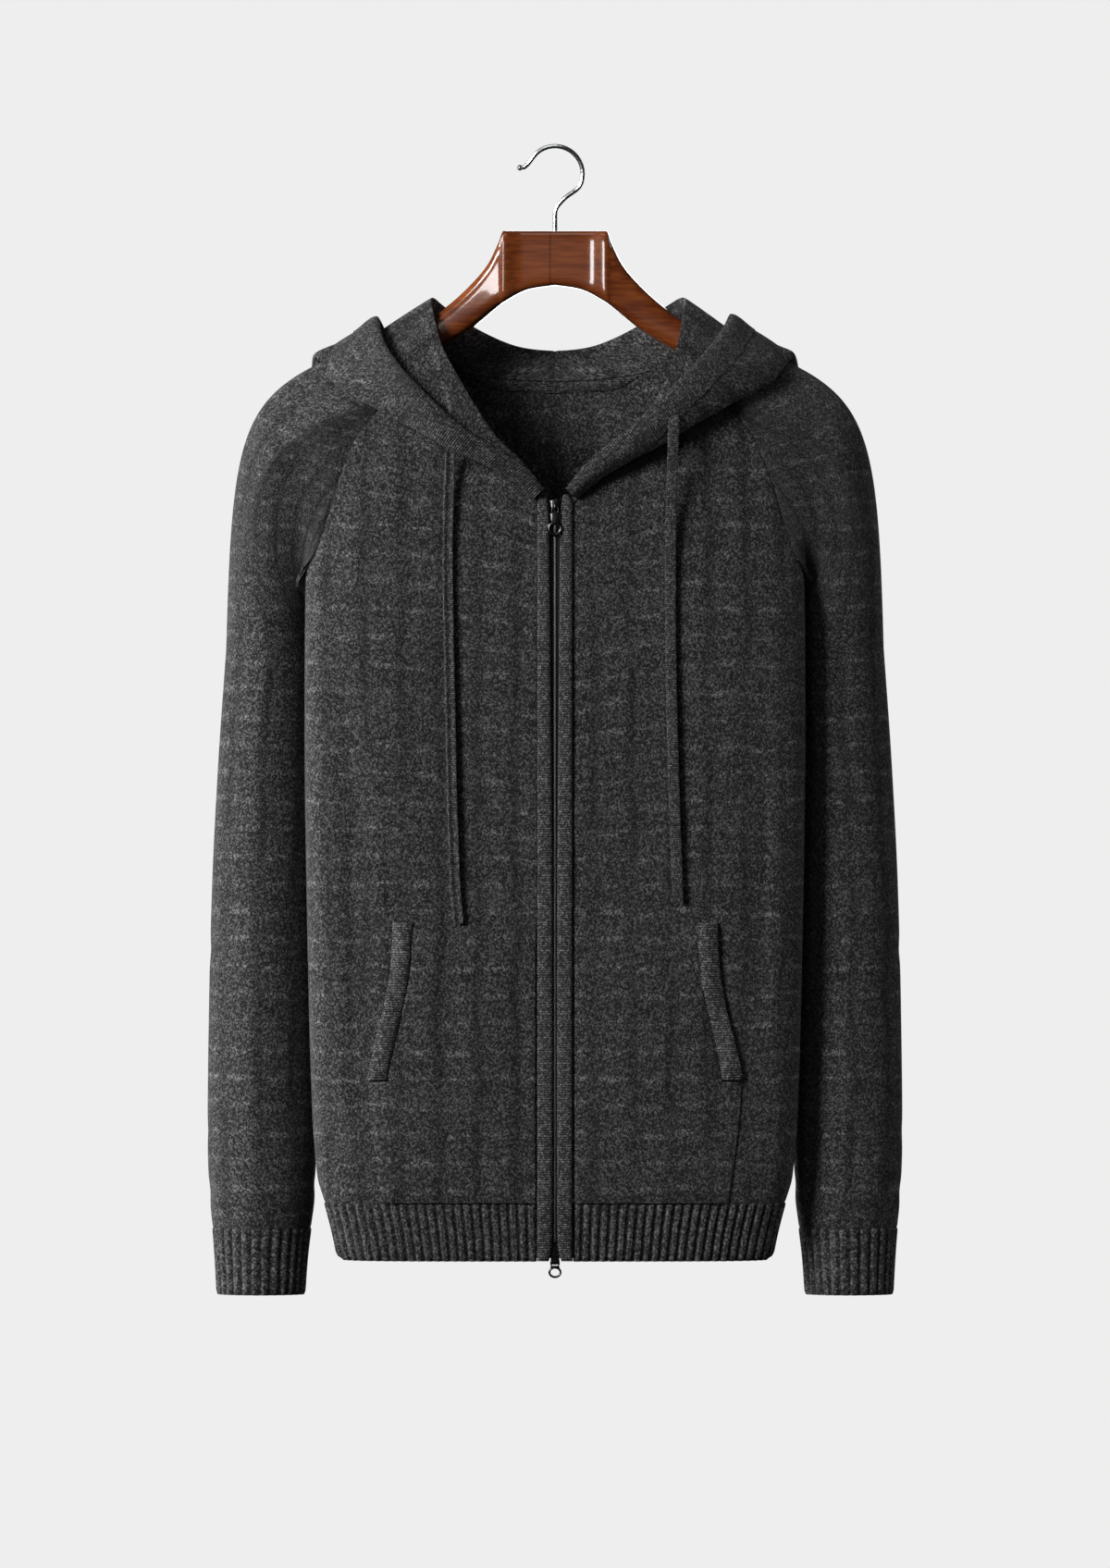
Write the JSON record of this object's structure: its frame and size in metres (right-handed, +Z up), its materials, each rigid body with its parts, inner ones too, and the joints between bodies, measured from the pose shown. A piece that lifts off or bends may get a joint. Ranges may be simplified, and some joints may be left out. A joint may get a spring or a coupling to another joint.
{
  "type": "zip up hoodie on a hanger",
  "caption": "Hip-length knitted hoodie with a full zip, raglan sleeves, a lowered hood, drawstrings and front pockets, hanging on a wooden hanger.",
  "frame": {"origin": "the point inside the crown of the hanger's hook that rests on a rail, on the garment's middle plane", "axes": "+X to the wearer's left, +Y towards the back, +Z up"},
  "size_m": [0.5662, 0.1554, 0.9365],
  "materials": {
    "knit": "charcoal heather knit",
    "rib": "charcoal heather rib knit",
    "cord": "flat knitted cord",
    "tape": "woven zip tape",
    "metal": "polished black nickel",
    "wood": "red-brown gloss lacquer",
    "chrome": "polished"
  },
  "bodies": {
    "hoodie": {"front_left": "knit", "sleeve_left": "knit", "hood_left": "knit", "pocket_left": "knit", "cuff_left": "rib", "hem_rib_front_left": "rib", "hood_band_left": "rib", "placket_left": "rib", "pocket_welt_left": "rib", "zip_tape_left": "tape", "drawstring_left": "cord", "front_right": "knit", "sleeve_right": "knit", "hood_right": "knit", "pocket_right": "knit", "cuff_right": "rib", "hem_rib_front_right": "rib", "hood_band_right": "rib", "placket_right": "rib", "pocket_welt_right": "rib", "zip_tape_right": "tape", "drawstring_right": "cord", "back": "knit", "hem_rib_back": "rib", "neck_binding": "knit", "zip_slider_top": "metal", "zip_slider_bottom": "metal", "hanger": "wood", "hanger_hook": "chrome"},
    "top_pull": {"zip_pull_top": "metal"},
    "bottom_pull": {"zip_pull_bottom": "metal"}
  },
  "joints": [
    {"name": "top_pull_swing", "type": "hinge", "parent": "hoodie", "child": "top_pull", "pos_m": [0, -0.0549, -0.293], "axis": [-1, 0, 0], "range_deg": [0, 150]},
    {"name": "bottom_pull_swing", "type": "hinge", "parent": "hoodie", "child": "bottom_pull", "pos_m": [0, -0.03972, -0.9034], "axis": [-1, 0, 0], "range_deg": [0, 90]}
  ]
}
